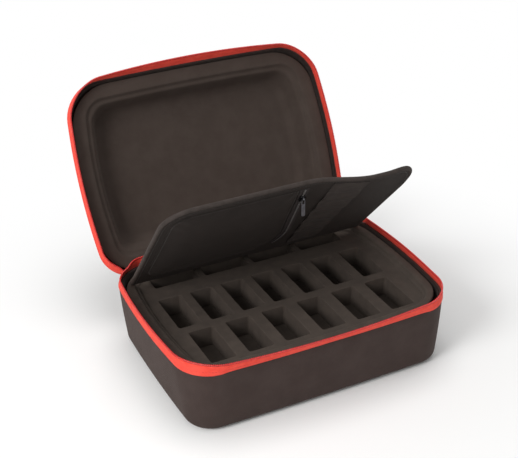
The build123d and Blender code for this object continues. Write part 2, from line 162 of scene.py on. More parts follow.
def bumpFrom(tree, skin, layers):
    # layers are (height socket, strength, distance in millimetres), laid one over another
    previous = None
    for height, strength, distance in layers:
        links = {"Height": height}
        if previous:
            links["Normal"] = previous.outputs[0]
        previous = addNode(tree, "ShaderNodeBump", {"Strength": strength, "Distance": distance * mm}, links)
    tree.links.new(previous.outputs[0], skin.inputs["Normal"])


def makeFinish(name, shine, roughness, patchMm, dark, pale, relief):
    # patches of two close colours over a relief of (pattern, its sizes in mm, strength, depth in mm)
    material, tree, skin = startMaterial(name, {**shine, "Roughness": roughness})
    spread = addNode(tree, "ShaderNodeMapRange", {"From Min": 0.35, "From Max": 0.65},
                     {"Value": mottle(tree, patchMm)})
    colours = {"data_type": "RGBA", 6: linearColour(dark), 7: linearColour(pale)}
    mix = addNode(tree, "ShaderNodeMix", colours, {0: spread.outputs[0]})
    tree.links.new(mix.outputs[2], skin.inputs["Base Color"])
    bumpFrom(tree, skin, [(pattern(tree, *sizes), strength, depth)
                          for pattern, sizes, strength, depth in relief])
    return material


# Cloth scatters light between its fibres, so it has little mirror shine and a faint warm nap
clothShine = {"IOR": 1.5, "Specular IOR Level": 0.15, "Sheen Weight": 0.06, "Sheen Roughness": 0.5,
              "Sheen Tint": linearColour("C8B8AC")}
nylonShine = {"IOR": 1.53}
threadShine = {"IOR": 1.5, "Sheen Weight": 0.2}
zincShine = {"Metallic": 1}

# 600-denier polyester laminated to moulded foam: matt, a faint even weave and soft patches of light;
# threads of 0.5 mm don't show at this size, so they are drawn 1.1 mm apart
laminate = makeFinish("wovenLaminate", clothShine, 0.8, 22, "392E2B", "3F3431",
                      [(weaveHeight, [1.1], 0.35, 0.25), (mottle, [1.6], 0.25, 0.4)])
# woven polyester tape: a tight rib across its width, a little shine on the ribs
tapeRed = makeFinish("zipTapeRed", clothShine, 0.75, 9, "E04538", "EA5143",
                     [(weaveHeight, [1.3, 0.9], 0.4, 0.25)])
# the same tape in charcoal, for the flap
tapeGrey = makeFinish("zipTapeGrey", clothShine, 0.75, 6, "2A2626", "363131",
                      [(weaveHeight, [1.0, 0.8], 0.4, 0.2)])
# nylon monofilament wound to a coil: smooth and glossy, so that each turn catches a small light
nylonRed = makeFinish("nylonCoilRed", nylonShine, 0.35, 3, "B3211F", "C92E2A", [(mottle, [0.8], 0.15, 0.1)])
nylonGrey = makeFinish("nylonCoilGrey", nylonShine, 0.35, 3, "403C3A", "4E4A47",
                       [(mottle, [0.8], 0.1, 0.1)])
# grosgrain ribbon: cross ribs, matt
grosgrain = makeFinish("grosgrainDark", clothShine, 0.8, 6, "221C1A", "2C2522",
                       [(weaveHeight, [1.2, 40], 0.5, 0.3)])
# cross-linked EVA foam, skived: matt, with fine closed cells that break up the light
foam = makeFinish("evaFoam", clothShine, 0.9, 14, "3F3833", "473F39",
                  [(mottle, [0.9, 2], 0.4, 0.2), (mottle, [5], 0.2, 0.3)])
# brushed nylon knit pressed over foam: a soft nap that lightens at a grazing angle
knit = makeFinish("brushedKnit", clothShine, 0.88, 18, "3D342F", "423934", [(mottle, [1.1, 3], 0.4, 0.25)])
# plain-woven polyester over a foam sheet: dark, matt, a fine weave
cloth = makeFinish("flapPolyester", clothShine, 0.82, 16, "211D1B", "272220",
                   [(weaveHeight, [1.2], 0.4, 0.25), (mottle, [2], 0.2, 0.3)])
# bias tape rolled over the flap's edge: the same cloth, painted a little paler as a painted sheen along its
# roll
biasTape = makeFinish("biasTapeDark", clothShine, 0.75, 7, "312B28", "3C3532",
                      [(weaveHeight, [1.0], 0.4, 0.2)])
# ribbed woven elastic: raised cords along its length, matt
elastic = makeFinish("ribbedElastic", clothShine, 0.8, 8, "2F2A28", "3B3532",
                     [(weaveHeight, [1.4, 1.1], 0.6, 0.3)])
# die-cast zinc, tumbled and plated gun-metal: dark, half bright, faintly uneven
zinc = makeFinish("gunMetalZinc", zincShine, 0.32, 2, "48474A", "59585B", [(mottle, [1.2], 0.08, 0.1)])
# bonded polyester thread: twisted, slightly shiny
threadRed = makeFinish("threadRed", threadShine, 0.55, 1.5, "B4302B", "D2433B", [(mottle, [0.6], 0.3, 0.1)])
threadDark = makeFinish("threadDark", threadShine, 0.55, 1.5, "2C2724", "3B3531",
                        [(mottle, [0.6], 0.3, 0.1)])
print("materials ready")


# Mesh helpers

def addObject(name, data):
    thing = bpy.data.objects.new(name, data)
    bpy.context.scene.collection.objects.link(thing)
    return thing


def finishMesh(mesh, material, body, replaced=(), sharp=40):
    piece = addObject(mesh.name, mesh)
    mesh.materials.clear()
    mesh.materials.append(material)
    mesh.shade_smooth()
    mesh.set_sharp_from_angle(angle=math.radians(sharp))
    if body:
        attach(piece, body)
    if replaced:
        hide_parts(*replaced)
    return piece


def loftMesh(name, rings, closed=True, caps=(False, False), closeProfile=False):
    # quads between rings of equal count, with UVs in millimetres along and across them
    count = len(rings[0])
    rows = rings + [rings[0]] if closeProfile else rings
    work = bmesh.new()
    grid = [[work.verts.new(point) for point in ring] for ring in rings]
    if closeProfile:
        grid.append(grid[0])
    uvLayer = work.loops.layers.uv.new("UVMap")

    def addFace(corners, uvs):
        for loop, uv in zip(work.faces.new(corners).loops, uvs):
            loop[uvLayer].uv = uv

    def running(steps):
        return list(accumulate((step.length / mm for step in steps), initial=0.0))

    lengths = [running(ring[(index + 1) % count] - ring[index] for index in range(count)) for ring in rows]
    heights = running(high[count // 3] - low[count // 3] for low, high in zip(rows, rows[1:]))
    for level in range(len(rows) - 1):
        for index in range(count if closed else count - 1):
            after = (index + 1) % count
            low, high = grid[level], grid[level + 1]
            corners = [low[index], low[after], high[after], high[index]]
            places = [(level, index), (level, index + 1), (level + 1, index + 1), (level + 1, index)]
            addFace(corners, [(lengths[row][column], heights[row]) for row, column in places])
    for wanted, ring in zip(caps, (grid[0], grid[-1])):
        if wanted:
            addFace(ring, [(vert.co.x / mm, (vert.co.y + vert.co.z) / mm) for vert in ring])
    if closeProfile and not closed:
        for end in (0, count - 1):
            ring = [row[end] for row in grid[:-1]]
            addFace(ring, [(vert.co.x / mm, vert.co.z / mm) for vert in ring])
    bmesh.ops.recalc_face_normals(work, faces=work.faces)
    mesh = bpy.data.meshes.new(name)
    work.to_mesh(mesh)
    work.free()
    return mesh


def addFlatUv(mesh):
    # UVs in millimetres, laid out along the way each face looks
    layer = mesh.uv_layers.get("UVMap") or mesh.uv_layers.new(name="UVMap")
    for face in mesh.polygons:
        steepness = abs(face.normal.z)
        for loop in face.loop_indices:
            place = mesh.vertices[mesh.loops[loop].vertex_index].co / mm
            if steepness > 0.5:
                layer.data[loop].uv = (place.x, place.y)
            elif abs(face.normal.x) > abs(face.normal.y):
                layer.data[loop].uv = (place.y, place.z)
            else:
                layer.data[loop].uv = (place.x, place.z)


def arcSteps(centre, radius, startAngle, endAngle, steps):
    points = []
    for step in range(steps + 1):
        angle = math.radians(startAngle + (endAngle - startAngle) * step / steps)
        points.append((centre[0] + radius * math.cos(angle), centre[1] + radius * math.sin(angle)))
    return points


def runSteps(start, end, steps):
    # points from start up to, but not including, end
    return [(start[0] + (end[0] - start[0]) * step / steps, start[1] + (end[1] - start[1]) * step / steps)
            for step in range(steps)]


def roundOff(x, y, reachX, reachY, angles):
    # points of the rounded edge that takes the place of a profile's corner at (x, y)
    turns = [math.radians(angle) for angle in angles]
    return [(x + reachX * (1 - math.cos(turn)), y + reachY * (1 - math.sin(turn))) for turn in turns]


def caseOutline(inset=0, corner=40, bow=1, frontShare=1, backShare=1, gap=0):
    # plan outline from the back middle round by the left; gap leaves the back open to that half width
    halfX = case["halfLength"] - inset
    halfY = case["halfWidth"] - inset
    x, y = halfX - corner, halfY - corner
    rear = corner * backShare
    rearX, rearY = halfX - rear, halfY - rear
    points = runSteps((-gap, halfY), (-rearX, halfY), 16)
    points += arcSteps((-rearX, rearY), rear, 90, 180, 12)
    points += runSteps((-halfX, rearY), (-halfX, -y), 16)[1:]
    points += arcSteps((-x, -y), corner, 180, 270, 12)
    points += runSteps((-x, -halfY), (x, -halfY), 24)[1:]
    points += arcSteps((x, -y), corner, 270, 360, 12)
    points += runSteps((halfX, -y), (halfX, rearY), 16)[1:]
    points += arcSteps((rearX, rearY), rear, 0, 90, 12)
    points += runSteps((rearX, halfY), (gap, halfY), 16)[1:]
    if gap:
        points.append((gap, halfY))
    bowed = []
    for px, py in points:
        side = case["sideBow"] * bow * (1 - (py / halfY) ** 2) * px / halfX
        front = case["frontBow"] * bow * frontShare * (1 - (px / halfX) ** 2) * min(py, 0) / halfY
        bowed.append((px + side, py + front))
    return bowed


def sectionRing(shape, place, level, inset=0, corner=None):
    # ring round a shell at this level, drawn in from its outside
    share = level / shape["height"]

    def between(key):
        return shape["low" + key] + (shape["high" + key] - shape["low" + key]) * share

    radius = corner or max(between("Corner") - inset, 6)
    outline = caseOutline(between("Inset") + inset, radius, between("Bow"), shape["frontShare"],
                          shape["backShare"])
    return [place(x, y, level) for x, y in outline]


def ellipsoidRow(name, places, lengthMm, widthMm, heightMm, sides=6, rows=4):
    # many small rounded beads in one mesh: stitches or zip teeth; places are (centre, along, out)
    vertices = []
    faces = []
    for centre, along, out in places:
        across = along.cross(out).normalized()
        start = len(vertices)
        vertices.append(centre - along * (lengthMm / 2 * mm))
        for row in range(1, rows):
            angle = math.pi * row / rows
            shift = along * (-math.cos(angle) * lengthMm / 2 * mm)
            for side in range(sides):
                turn = 2 * math.pi * side / sides
                spread = across * (math.cos(turn) * widthMm / 2) + out * (math.sin(turn) * heightMm / 2)
                vertices.append(centre + shift + spread * (math.sin(angle) * mm))
        vertices.append(centre + along * (lengthMm / 2 * mm))
        end = len(vertices) - 1
        for side in range(sides):
            after = (side + 1) % sides
            faces.append((start, start + 1 + after, start + 1 + side))
            faces.append((end, end - sides + side, end - sides + after))
            for row in range(rows - 2):
                low = start + 1 + row * sides
                faces.append((low + side, low + after, low + sides + after, low + sides + side))
    mesh = bpy.data.meshes.new(name)
    mesh.from_pydata([tuple(v) for v in vertices], [], faces)
    mesh.uv_layers.new(name="UVMap")
    return mesh


stitch = {"length": 2.6, "width": 0.6, "height": 0.5, "pitch": 3.6}


def sew(name, places, thread=threadDark, body="flap", length=stitch["length"],
        width=stitch["width"]):
    mesh = ellipsoidRow(name, places, length, width, stitch["height"], 5, 3)
    return finishMesh(mesh, thread, body)


def walk(points, stepMm, startMm=0.0):
    # (point, direction) pairs at even steps along a line of points
    places = []
    wanted = startMm * mm
    travelled = 0.0
    for low, high in zip(points, points[1:]):
        stretch = (high - low).length
        if stretch < 1e-9:
            continue
        while wanted <= travelled + stretch:
            share = (wanted - travelled) / stretch
            places.append((low.lerp(high, share), (high - low) / stretch))
            wanted += stepMm * mm
        travelled += stretch
    return places


def tubeMesh(name, points, radiusMm, sides=8, up=Vector((0, 0, 1))):
    # round bar along a line of points
    rings = []
    for index, point in enumerate(points):
        before = points[max(index - 1, 0)]
        after = points[min(index + 1, len(points) - 1)]
        along = (after - before).normalized()
        across = along.cross(up).normalized()
        normal = across.cross(along).normalized()
        turns = [2 * math.pi * side / sides for side in range(sides)]
        rings.append([point + (across * math.cos(turn) + normal * math.sin(turn)) * (radiusMm * mm)
                      for turn in turns])
    return loftMesh(name, rings, caps=(True, True))


# Base shell and lid shell

def shellRings(shape, place, openLow):
    # outer skin from the closed end to the rim, over its edge and down the inside
    height, edge, wall, lip = (shape[key] for key in ("height", "edge", "wall", "lip"))
    profile = roundOff(0, 0, edge, edge, range(90, -1, -15))
    for step in range(1, 9):
        level = edge + (height - lip - edge) * step / 8
        profile.append((-shape["puff"] * math.sin(math.pi * step / 8), level))
    profile += roundOff(0, height, lip, -lip, (30, 60, 90))
    profile += [(wall - lip, height), (wall, height - lip), (wall, height * 0.5), (wall, wall)]
    return [sectionRing(shape, place, fromEnd if openLow else height - fromEnd, inset)
            for inset, fromEnd in profile]


def buildShells():
    mesh = loftMesh("baseSkin", shellRings(baseShape, atBase, True), caps=(True, True))
    finishMesh(mesh, laminate, "base", ["base_shell"])
    mesh = loftMesh("lidSkin", shellRings(lidShape, atLid, False), caps=(True, True))
    finishMesh(mesh, laminate, "lid", ["lid_shell"])


# Zips

zipShape = {"tapeHeight": 9.2, "tapeThickness": 1.2, "coilRadius": 1.25, "coilHeight": 10.6,
            "coreRadius": 0.75, "toothPitch": 2.0, "baseGap": 104, "lidGap": 102, "stitchHeight": 2.4,
            "stitchPitch": 3.4, "cornerStart": 0.75, "cornerDrop": 0.08, "parkedSlider": 122,
            "parkedFade": 6}

# How far each side of the tape's free edge leans out, how much it dips over the parked slider, and how
# far its sewn edge laps the shell
baseTape = {"front": 7, "frontCorner": 0.6, "left": 0.2, "right": -3, "back": -6, "dip": 0, "lap": 4}
lidTape = {"front": 5.8, "frontCorner": -0.8, "left": -0.7, "right": -0.4, "back": -6, "dip": 0.38,
           "lap": 1}


def zipOutline(shape, lean, height, inset, gap):
    # the rim's outline at this height of the tape, leaned by side, with its own fall at the front corners
    rim = caseOutline(0, shape["rimCorner"], 1, shape["frontShare"], shape["backShare"], gap)
    share = height / zipShape["tapeHeight"]
    points = []
    for index, (x, y) in enumerate(rim):
        before = rim[max(index - 1, 0)]
        after = rim[min(index + 1, len(rim) - 1)]
        run = math.hypot(after[0] - before[0], after[1] - before[1])
        outX, outY = -(after[1] - before[1]) / run, (after[0] - before[0]) / run
        if outX * x + outY * y < 0:
            outX, outY = -outX, -outY
        middle = 1 - (x / case["halfLength"]) ** 2
        deep = 1 - (y / case["halfWidth"]) ** 2
        front = lean["frontCorner"] + (lean["front"] - lean["frontCorner"]) * max(middle, 0)
        out = max(-outY, 0) ** 2 * front
        out += outX ** 2 * (lean["left"] if outX < 0 else lean["right"]) * max(min(deep * 1.6, 1), 0)
        lap = lean["lap"] * (2 * abs(outX * outY)) ** 0.7 if y < 0 else 0
        # it leans in round the back corners, and the lid's half dips over the parked slider
        corner = zipShape["cornerStart"]
        backCorner = max(outY, 0) * (1 - ease((outY - corner) / (1 - corner)))
        out += lean["back"] * backCorner
        parked = ease((zipShape["parkedSlider"] - abs(x)) / zipShape["parkedFade"])
        dip = lean["dip"] * parked if outY > 0.9 else 0
        drop = lap * max(1 - share * 2.2, 0) + height * (dip + zipShape["cornerDrop"] * backCorner)
        shift = out * max(share, 0) - inset
        points.append((x + outX * shift, y + outY * shift, drop))
    return points


def buildZip(name, shape, lean, place, rim, direction, gap, body, nodes):
    # direction is +1 where the tape stands up from the rim and -1 where it hangs from it
    def ringAt(height, inset, ringGap=gap):
        return [place(x, y, rim + direction * (height - drop))
                for x, y, drop in zipOutline(shape, lean, height, inset, ringGap)]

    thickness = zipShape["tapeThickness"]
    top = zipShape["tapeHeight"]
    profile = [(0.0, -0.4), (-0.45, 0.0), (-0.35, 1.6), (-0.1, 4), (0, top - 0.5), (0.35, top),
               (thickness - 0.35, top), (thickness, top - 0.5), (thickness, 3), (thickness, 0.4),
               (thickness - 0.4, 0.1)]
    rings = [ringAt(height, inset) for inset, height in profile]
    mesh = loftMesh(name + "Tape", rings, closed=False, closeProfile=True)
    finishMesh(mesh, tapeRed, body, [nodes[0]])
    # nylon coil: a bead for each turn over a thin core
    middle = ringAt(zipShape["coilHeight"], thickness / 2)
    above = (place(0, 0, direction) - place(0, 0, 0)).normalized()
    teeth = []
    for point, along in walk(middle, zipShape["toothPitch"]):
        teeth.append((point, (above + along * 0.25).normalized(), along.cross(above).normalized()))
    size = 2 * zipShape["coilRadius"]
    mesh = ellipsoidRow(name + "Coil", teeth, size * 1.08, size * 0.62, size * 0.95, 6, 5)
    finishMesh(mesh, nylonRed, body, [nodes[1]], 60)
    finishMesh(tubeMesh(name + "Core", middle, zipShape["coreRadius"], 6, above), nylonRed, body)
    # one row of lockstitch near the shell
    seam = ringAt(zipShape["stitchHeight"], -0.3, gap + 2)
    stitches = [(point, along, along.cross(above).normalized())
                for point, along in walk(seam, zipShape["stitchPitch"], 2)]
    sew(name + "Stitches", stitches, threadRed, body)


bindingShape = {"thickness": 1.1, "height": 8}


def buildBinding(name, shape, place, rimLevel, direction, body, node):
    height = bindingShape["height"]
    outer = shape["wall"] + 0.1
    inner = outer + bindingShape["thickness"]
    profile = [(outer, height), (outer, 0.4), (outer + 0.3, 0), (inner - 0.3, 0), (inner, 0.4),
               (inner, height - 0.4), (inner - 0.4, height)]
    rings = [sectionRing(shape, place, rimLevel - direction * down, inset) for inset, down in profile]
    finishMesh(loftMesh(name, rings, closeProfile=True), grosgrain, body, [node])


def buildZips():
    buildZip("baseZip", baseShape, baseTape, atBase, baseShape["height"], 1, zipShape["baseGap"], "base",
             ["base_zip_tape", "base_zip_coil"])
    buildZip("lidZip", lidShape, lidTape, atLid, 0, -1, zipShape["lidGap"], "lid",
             ["lid_zip_tape", "lid_zip_coil"])
    buildBinding("baseBinding", baseShape, atBase, baseShape["height"], 1, "base", "base_binding")
    buildBinding("lidBinding", lidShape, atLid, 0, -1, "lid", "lid_binding")


# Foam tray

tray = {"inset": 6.4, "recess": 20.9, "lipWidth": 10.8, "ledgeTop": 76.4, "lipTop": 80, "deck": 73,
        "pocketFloor": 48, "bedLow": 4.2, "corner": 43, "recessCorner": 20, "lipRound": 2.2,
        "pocketCorner": 2.5, "edgeRound": 0.9}
pocketRows = {"front": {"y": -58, "count": 6, "pitch": 44.3, "width": 29, "length": 62},
              "middle": {"y": 16, "count": 7, "pitch": 39, "width": 27, "length": 62},
              "rear": {"y": 82, "count": 4, "pitch": 63.5, "width": 56, "length": 19}}


def roundedBox(x, y, width, length, corner):
    halfX, halfY = width / 2 - corner, length / 2 - corner
    points = []
    for start, (sideX, sideY) in zip((0, 90, 180, 270), ((1, 1), (-1, 1), (-1, -1), (1, -1))):
        points += arcSteps((x + sideX * halfX, y + sideY * halfY), corner, start, start + 90, 4)
    return points


def slabMesh(name, outlines, low, high, bevel):
    # flat slab from a filled plan with holes, its edges rounded by the curve's own bevel
    plan = bpy.data.curves.new(name, "CURVE")
    plan.dimensions = "2D"
    plan.fill_mode = "BOTH"
    plan.extrude = ((high - low) / 2 - bevel) * mm
    plan.bevel_depth = bevel * mm
    plan.bevel_resolution = 3
    plan.offset = -bevel * mm
    for points in outlines:
        spline = plan.splines.new("POLY")
        spline.points.add(len(points) - 1)
        for target, (x, y) in zip(spline.points, points):
            target.co = (x * mm, y * mm, 0, 1)
        spline.use_cyclic_u = True
    holder = addObject(name, plan)
    bpy.context.view_layer.update()
    mesh = bpy.data.meshes.new_from_object(holder)
    bpy.data.objects.remove(holder)
    mesh.name = name
    mesh.transform(Matrix.Translation((0, 0, (low + high) / 2 * mm)))
    return mesh


def buildTray():
    inset, recess, rounding = tray["inset"], tray["recess"], tray["lipRound"]
    lipTop, ledge, deck, floorLevel = tray["lipTop"], tray["ledgeTop"], tray["deck"], tray["pocketFloor"]
    inner = inset + tray["lipWidth"]
    # frame: up the outside, over the lip, then down two rounded steps
    profile = [(inset, floorLevel), (inset, 62), (inset, lipTop - rounding)]
    profile += roundOff(inset, lipTop, rounding, -rounding, (30, 60, 90))
    profile += runSteps((inset + rounding, lipTop), (inner - rounding, lipTop), 4)[1:]
    profile += roundOff(inner, lipTop, -rounding, -rounding, (90, 65, 40, 15))
    profile += [(inner + 0.2, ledge + 0.9), (inner + 0.8, ledge + 0.2), (inner + 1.6, ledge),
                (recess - 1.2, ledge), (recess - 0.4, ledge - 0.4), (recess, ledge - 1.2),
                (recess + 0.1, deck + 0.9), (recess + 0.7, deck + 0.2), (recess + 1.8, deck - 0.2),
                (recess + 3, deck - 2)]
    rings = []
    for own, level in profile:
        share = min(max((own - inset) / (recess - inset), 0), 1)
        corner = tray["corner"] + (tray["recessCorner"] - tray["corner"]) * share
        rings.append(sectionRing(baseShape, atBase, level, own, corner))
    mesh = loftMesh("trayFrame", rings)
    piece = finishMesh(mesh, foam, "base", ["insert_frame"])
    # deck with its pockets
    outlines = [caseOutline(recess + 0.2, tray["recessCorner"])]
    for row in pocketRows.values():
        for index in range(row["count"]):
            x = (index - (row["count"] - 1) / 2) * row["pitch"]
            outlines.append(roundedBox(x, row["y"], row["width"], row["length"], tray["pocketCorner"]))
    mesh = slabMesh("trayDeck", outlines, floorLevel, deck, tray["edgeRound"])
    addFlatUv(mesh)
    piece = finishMesh(mesh, foam, "base",
                       ["front_pocket_row", "middle_pocket_row", "rear_pocket_row"], 30)
    # bed under the pockets
    low = tray["bedLow"]
    rings = [sectionRing(baseShape, atBase, level, own, tray["corner"] - 12)
             for own, level in ((inset + 3, low), (inset, low + 3), (inset, floorLevel))]
    mesh = loftMesh("trayBed", rings, caps=(True, True))
    piece = finishMesh(mesh, foam, "base", ["insert_bed"])


# Lid lining

lining = {"inset": 4.3, "lipWidth": 16.6, "ledge": 5, "drop": 2.0, "step": 4, "bed": 30.7, "roof": 35.7,
          "corner": 45, "ledgeCorner": 20, "roofTaper": 14, "round": 1.8, "floorRound": 8}


def buildLining():
    inset, drop, rounding, bed = (lining[key] for key in ("inset", "drop", "round", "bed"))
    inner = inset + lining["lipWidth"]
    ledgeDepth = drop + lining["step"]
    wallInset = inner + lining["ledge"]
    floorRound = lining["floorRound"]
    profile = [(inset, lining["roof"]), (inset, 20), (inset, drop + rounding)]
    profile += roundOff(inset, drop, rounding, rounding, (30, 60, 90))
    profile += runSteps((inset + rounding, drop), (inner - rounding, drop), 4)[1:]
    profile += roundOff(inner, drop, -rounding, rounding, (90, 60, 30, 0))
    wallTop = ledgeDepth + 2.6
    profile += [(inner + 1, ledgeDepth - 0.3), (inner + 2.4, ledgeDepth),
                (wallInset - 1.4, ledgeDepth + 0.1), (wallInset - 0.3, ledgeDepth + 0.9)]
    wallEnd = (wallInset, bed - floorRound)
    profile += runSteps((wallInset, wallTop), wallEnd, 5) + [wallEnd]
    profile += roundOff(wallInset, bed, floorRound, -floorRound, (20, 45, 70, 90))
    rings = []
    for own, depth in profile:
        share = min(max((own - inset) / lining["lipWidth"], 0), 1)
        corner = lining["corner"] + (lining["ledgeCorner"] - lining["corner"]) * share
        if own == inset:
            corner = lining["corner"] - lining["roofTaper"] * (depth - drop) / (lining["roof"] - drop)
        rings.append(sectionRing(lidShape, atLid, depth, own, corner))
    mesh = loftMesh("lidLining", rings, caps=(False, True))
    piece = finishMesh(mesh, knit, "lid", ["lid_lining"])


# Flap

flapShape = {"halfWidth": 151, "reach": 193, "corner": 34, "low": -1.5, "thickness": 5, "start": 0.3,
             "boardInset": 2.2, "skin": 0.4, "crown": 1.2, "sag": 11.8, "cornerSag": -4, "under": -1.0,
             "roll": 2.5, "flapSeamUnder": -1.25, "flapSeamOver": 3.2, "seamSide": 3.4, "seamEnd": 3.6}
flapUp = (atFlapPlane(0, 0, 1) - atFlapPlane(0, 0, 0)).normalized()


def flapBend(x, y):
    # the flap is soft: right of its zip it sags towards the tray, most at the far corner
    reach = -y / flapShape["reach"]
    seam = flapZip["x"] + flapZip["shift"] * (flapZip["far"] + y) / (flapZip["far"] - flapZip["bend"])
    sag = flapShape["sag"] * ease((x - seam - 1) / 80) * max(reach, 0)
    corner = flapShape["cornerSag"] * ease((x - 105) / 46) * ease((reach - 0.7) / 0.3)
    return -sag - corner


def atFlap(x, y, level):
    return atFlapPlane(x, y, level + flapBend(x, y))


def flapHalfWidth(reach, inset):
    corner = flapShape["corner"] - inset
    full = flapShape["halfWidth"] - inset
    past = reach - (flapShape["reach"] - flapShape["corner"])
    if past <= 0:
        return full
    return full - corner + math.sqrt(max(corner ** 2 - past ** 2, 0))


def flattenWithFlap(piece):
    # gives the piece a mesh of its own
    tuple(atFlapPlane(0, -90, flapShape["under"]))
    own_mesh(piece)


def buildFlapBoard():
    inset, full = flapShape["boardInset"], flapShape["reach"]
    far = full - inset
    bendStart = full - flapShape["corner"]
    reaches = [flapShape["start"] + (bendStart - 1) * step / 26 for step in range(27)]
    reaches += [bendStart + (far - bendStart) * math.sin(math.pi / 2 * step / 10) for step in range(1, 11)]
    columns = 44
    thickness = flapShape["thickness"] - 2 * flapShape["skin"]
    rings = []
    for reach in reaches:
        half = flapHalfWidth(reach, inset)
        ring = []
        for level, order in ((0, range(columns + 1)), (1, range(columns, -1, -1))):
            for column in order:
                across = 2 * column / columns - 1
                swell = flapShape["crown"] * (1 - across ** 4) * math.sin(math.pi * min(reach / full, 1))
                height = flapShape["low"] + flapShape["skin"] + level * thickness + (swell if level else 0)
                ring.append(atFlap(half * across, -reach, height))
        rings.append(ring)
    mesh = loftMesh("flapBoard", rings, caps=(True, True))
    piece = finishMesh(mesh, cloth, "flap", ["flap_board"])
    flattenWithFlap(piece)
    # edge tape rolled over the board
    x = flapShape["halfWidth"] - flapShape["corner"]
    y = full - flapShape["corner"]
    radius = flapShape["corner"] - flapShape["roll"]
    start = (-x - radius, -flapShape["start"])
    path = [start] + runSteps(start, (-x - radius, -y), 24)[1:]
    path += arcSteps((-x, -y), radius, 180, 270, 12)
    path += runSteps((-x, -y - radius), (x, -y - radius), 36)[1:]
    path += arcSteps((x, -y), radius, 270, 360, 12)
    path += runSteps((x + radius, -y), (x + radius, start[1]), 24)[1:] + [(x + radius, start[1])]
    middle = flapShape["low"] + flapShape["thickness"] / 2
    points = [atFlap(px, py, middle) for px, py in path]
    mesh = tubeMesh("flapEdge", points, flapShape["roll"], 12, flapUp)
    piece = finishMesh(mesh, biasTape, "flap", ["flap_binding"])
    flattenWithFlap(piece)
    # stitches just inside the roll, on both faces
    shrinkX = 1 - flapShape["seamSide"] / flapShape["halfWidth"]
    shrinkY = 1 - flapShape["seamEnd"] / full
    for name, out in (("flapSeamUnder", -flapUp), ("flapSeamOver", flapUp)):
        seam = [atFlap(px * shrinkX, py * shrinkY, flapShape[name]) for px, py in path]
        places = [(point, along, out) for point, along in walk(seam, stitch["pitch"], 2)]
        flattenWithFlap(sew(name, places))


flapZip = {"x": 13.4, "shift": 16.6, "far": 179, "bend": 62, "turnRadius": 46.5, "sweep": 45,
           "tapeWidth": 11, "tapeThickness": 0.7, "coilWidth": 2.4, "coilHeight": 1.5, "toothPitch": 1.6}
panel = {"left": -138, "far": -180, "seam": 6.5, "turn": 40, "corner": 22, "swell": 2.9, "shoulder": 16,
         "pressure": 4, "frames": 20, "cap": 1.6, "seamInset": 2.2, "seamWidth": 0.55}


def zipFrame():
    # along the zip's straight part, right of it, its bend, the centre it turns about and the angle there
    run = flapZip["far"] - flapZip["bend"]
    length = math.hypot(run, flapZip["shift"])
    ahead = (flapZip["shift"] / length, run / length)
    right = (ahead[1], -ahead[0])
    bend = (flapZip["x"] + flapZip["shift"], -flapZip["bend"])
    centre = (bend[0] - right[0] * flapZip["turnRadius"], bend[1] - right[1] * flapZip["turnRadius"])
    return ahead, right, bend, centre, math.degrees(math.atan2(right[1], right[0]))


def zipLine(side=0.0):
    # centre line of the flap zip, or a line parallel to it at a side distance
    ahead, right, bend, centre, startAngle = zipFrame()
    start = (flapZip["x"] + right[0] * side, -flapZip["far"] + right[1] * side)
    end = (bend[0] + right[0] * side, bend[1] + right[1] * side)
    turned = arcSteps(centre, flapZip["turnRadius"] + side, startAngle, startAngle + flapZip["sweep"], 10)
    return runSteps(start, end, 30) + turned


def panelOutline():
    # the panel's slanted side follows the zip, and its near corner turns with it
    ahead, right, bend, centre, startAngle = zipFrame()
    turn, corner, left, far = (panel[key] for key in ("turn", "corner", "left", "far"))
    near = centre[1] + turn
    farX = flapZip["x"] - panel["seam"] / ahead[1] + (far + flapZip["far"]) * ahead[0] / ahead[1]
    points = runSteps((farX, far), (centre[0] + turn * right[0], centre[1] + turn * right[1]), 22)
    points += arcSteps(centre, turn, startAngle, 90, 12)
    points += runSteps((centre[0], near), (left + corner, near), 16)[1:]
    points += arcSteps((left + corner, near - corner), corner, 90, 180, 8)
    points += runSteps((left, near - corner), (left, far + corner), 20)[1:]
    points += arcSteps((left + corner, far + corner), corner, 180, 270, 8)
    points += runSteps((left + corner, far), (farX, far), 20)[1:]
    return points


def crossings(outline, y):
    # leftmost and rightmost place where a plan outline meets this row
    found = []
    for (ax, ay), (bx, by) in zip(outline, outline[1:] + outline[:1]):
        if min(ay, by) <= y <= max(ay, by) and ay != by:
            found.append(ax + (bx - ax) * (y - ay) / (by - ay))
    return min(found), max(found)


def inflate(piece, held, pressure, frames, cap):
    # cloth under a little pressure, its held points pinned, then frozen into the mesh
    group = piece.vertex_groups.new(name="held")
    group.add(held, 1.0, "REPLACE")
    modifier = piece.modifiers.new("cloth", "CLOTH")
    settings = modifier.settings
    for key, value in {"quality": 6, "mass": 0.3, "tension_stiffness": 12, "compression_stiffness": 12,
                       "bending_stiffness": 0.4, "use_pressure": True,
                       "uniform_pressure_force": pressure, "vertex_group_mass": "held"}.items():
        setattr(settings, key, value)
    settings.effector_weights.gravity = 0
    modifier.point_cache.frame_start = 1
    modifier.point_cache.frame_end = frames
    scene = bpy.context.scene
    for frameNumber in range(1, frames + 1):
        scene.frame_set(frameNumber)
    evaluated = piece.evaluated_get(bpy.context.evaluated_depsgraph_get())
    filled = [vertex.co.copy() for vertex in evaluated.data.vertices]
    piece.modifiers.remove(modifier)
    piece.vertex_groups.remove(group)
    for vertex, end in zip(piece.data.vertices, filled):
        move = end - vertex.co
        if move.length > cap * mm:
            move = move.normalized() * (cap * mm)
        vertex.co += move
    piece.data.update()
    scene.frame_set(1)


